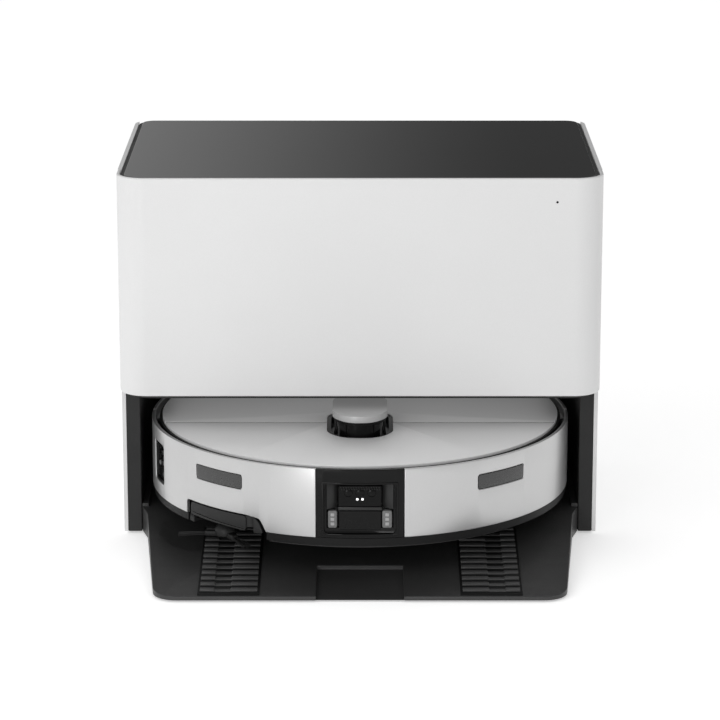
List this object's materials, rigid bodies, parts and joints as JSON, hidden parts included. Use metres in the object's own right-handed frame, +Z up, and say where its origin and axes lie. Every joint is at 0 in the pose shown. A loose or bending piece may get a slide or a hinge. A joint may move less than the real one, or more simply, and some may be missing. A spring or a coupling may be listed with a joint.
{
  "type": "robot vacuum",
  "caption": "Low round robot vacuum with a laser turret and spinning mops, parked on the ramp of its boxy glass-topped clean station.",
  "frame": {"origin": "on the floor, at the middle of the whole footprint, which is also under the robot's own axis while it is docked", "axes": "+X to the right seen from the ramp, +Y to the back of the station, +Z up"},
  "size_m": [0.405, 0.418, 0.318],
  "materials": {
    "white_shell": "satin white moulded shell",
    "black_plastic": "fine-grained black moulding",
    "gloss_black": "polished black",
    "top_glass": "black-backed tempered glass",
    "silver_band": "satin silver paint",
    "silver_plate": "fine satin silver paint",
    "smoked_window": "smoked infrared window",
    "frosted_lens": "frosted lamp lens",
    "rubber": "moulded rubber",
    "tyre_rubber": "treaded rubber",
    "clear_tank": "translucent tank plastic",
    "steel": "turned steel",
    "contact_metal": "plated contact",
    "grey_plastic": "grey moulded plastic",
    "bag_paper": "non-woven dust bag",
    "mop_cloth": "microfibre",
    "bristle": "nylon bristles and rubber fins",
    "status_lens": "light pipe"
  },
  "bodies": {
    "station": {"base_tray": "black_plastic", "base_underplate": "black_plastic", "rubber_feet": "rubber", "wash_board": "grey_plastic", "traction_pads": "rubber", "bay_right_wall": "black_plastic", "bay_left_wall": "black_plastic", "bay_back_wall": "black_plastic", "charging_contacts": "contact_metal", "right_side_panel": "white_shell", "left_side_panel": "white_shell", "rear_panel": "white_shell", "power_inlet": "black_plastic", "upper_housing": "black_plastic", "lid_hinge_pins": "steel", "dirty_water_tank": "clear_tank", "clean_water_tank": "clear_tank", "dust_bag": "bag_paper", "station_fan_housing": "grey_plastic"},
    "cover": {"front_cover": "white_shell", "status_light": "status_lens"},
    "lid": {"lid_frame": "black_plastic", "lid_glass": "top_glass"},
    "station_fan": {"station_fan": "grey_plastic"},
    "robot": {"robot_chassis": "black_plastic", "upper_deck": "black_plastic", "top_front_plate": "silver_plate", "rear_shell": "silver_band", "robot_charge_pads": "contact_metal", "lidar_base": "gloss_black", "lidar_window": "smoked_window", "lidar_cap": "silver_plate", "dust_bin": "clear_tank", "battery": "grey_plastic", "suction_housing": "grey_plastic"},
    "rear_lid": {"top_rear_lid": "silver_plate"},
    "bumper": {"bumper": "silver_band", "bumper_skirt": "black_plastic", "ir_windows": "smoked_window", "camera_housing": "gloss_black", "camera_window": "smoked_window", "led_lenses": "frosted_lens"},
    "lidar_rotor": {"lidar_rotor": "black_plastic"},
    "suction_fan": {"suction_fan": "grey_plastic"},
    "right_arm": {"right_wheel_arm": "grey_plastic"},
    "right_wheel": {"right_wheel_hub": "grey_plastic", "right_tyre": "tyre_rubber"},
    "left_arm": {"left_wheel_arm": "grey_plastic"},
    "left_wheel": {"left_wheel_hub": "grey_plastic", "left_tyre": "tyre_rubber"},
    "caster_fork": {"caster_fork": "grey_plastic"},
    "caster_wheel": {"caster_wheel": "rubber"},
    "main_brush": {"main_brush": "bristle"},
    "side_arm": {"side_brush_arm": "black_plastic"},
    "side_brush": {"side_brush": "bristle"},
    "mop_carriage": {"mop_gearbox": "grey_plastic"},
    "right_mop": {"right_mop_disc": "grey_plastic", "right_mop_pad": "mop_cloth"},
    "left_mop": {"left_mop_disc": "grey_plastic", "left_mop_pad": "mop_cloth"}
  },
  "joints": [
    {"name": "cover_pull", "type": "slide", "parent": "station", "child": "cover", "axis": [0, -1, 0], "range_m": [0, 0.08]},
    {"name": "lid_hinge", "type": "hinge", "parent": "station", "child": "lid", "pos_m": [0, 0.2058, 0.3115], "axis": [-1, 0, 0], "range_deg": [0, 75]},
    {"name": "station_fan_spin", "type": "hinge", "parent": "station", "child": "station_fan", "pos_m": [0.09, -0.0145, 0.16], "axis": [0, 0, 1], "continuous": true},
    {"name": "robot_drive", "type": "slide", "parent": "station", "child": "robot", "axis": [0, -1, 0], "range_m": [0, 0.43]},
    {"name": "rear_lid_lift", "type": "slide", "parent": "robot", "child": "rear_lid", "axis": [0, 0, 1], "range_m": [0, 0.02]},
    {"name": "bumper_press", "type": "slide", "parent": "robot", "child": "bumper", "axis": [0, 1, 0], "range_m": [0, 0.003], "stiffness_N_per_m": 400},
    {"name": "lidar_spin", "type": "hinge", "parent": "robot", "child": "lidar_rotor", "pos_m": [0, -0.0505, 0.1], "axis": [0, 0, 1], "continuous": true},
    {"name": "suction_fan_spin", "type": "hinge", "parent": "robot", "child": "suction_fan", "pos_m": [0, 0.0655, 0.06], "axis": [0, 0, 1], "continuous": true},
    {"name": "right_suspension", "type": "hinge", "parent": "robot", "child": "right_arm", "pos_m": [0.133, -0.036, 0.066], "axis": [1, 0, 0], "range_deg": [0, 11], "stiffness_Nm_per_rad": 1.5, "springref_deg": -34.38},
    {"name": "right_wheel_spin", "type": "hinge", "parent": "right_arm", "child": "right_wheel", "pos_m": [0.133, 0, 0.0563], "axis": [1, 0, 0], "continuous": true},
    {"name": "left_suspension", "type": "hinge", "parent": "robot", "child": "left_arm", "pos_m": [-0.133, -0.036, 0.066], "axis": [1, 0, 0], "range_deg": [0, 11], "stiffness_Nm_per_rad": 1.5, "springref_deg": -34.38},
    {"name": "left_wheel_spin", "type": "hinge", "parent": "left_arm", "child": "left_wheel", "pos_m": [-0.133, 0, 0.0563], "axis": [1, 0, 0], "continuous": true},
    {"name": "caster_swivel", "type": "hinge", "parent": "robot", "child": "caster_fork", "pos_m": [0, -0.126, 0.05], "axis": [0, 0, 1], "continuous": true},
    {"name": "caster_roll", "type": "hinge", "parent": "caster_fork", "child": "caster_wheel", "pos_m": [0, -0.122, 0.0348], "axis": [1, 0, 0], "continuous": true},
    {"name": "main_brush_spin", "type": "hinge", "parent": "robot", "child": "main_brush", "pos_m": [0, -0.06, 0.0438], "axis": [1, 0, 0], "continuous": true},
    {"name": "side_arm_swing", "type": "hinge", "parent": "robot", "child": "side_arm", "pos_m": [-0.08878, -0.1367, 0.05], "axis": [0, 0, 1], "range_deg": [0, 20]},
    {"name": "side_brush_spin", "type": "hinge", "parent": "side_arm", "child": "side_brush", "pos_m": [-0.11172, -0.11172, 0.04], "axis": [0, 0, 1], "continuous": true},
    {"name": "mop_lift", "type": "slide", "parent": "robot", "child": "mop_carriage", "axis": [0, 0, 1], "range_m": [0, 0.006]},
    {"name": "right_mop_spin", "type": "hinge", "parent": "mop_carriage", "child": "right_mop", "pos_m": [0.062, 0.092, 0.03], "axis": [0, 0, 1], "continuous": true},
    {"name": "left_mop_spin", "type": "hinge", "parent": "mop_carriage", "child": "left_mop", "pos_m": [-0.062, 0.092, 0.03], "axis": [0, 0, 1], "continuous": true}
  ],
  "couplings": [
    {"joint": "left_mop_spin", "follows": "right_mop_spin", "ratio": -1}
  ]
}
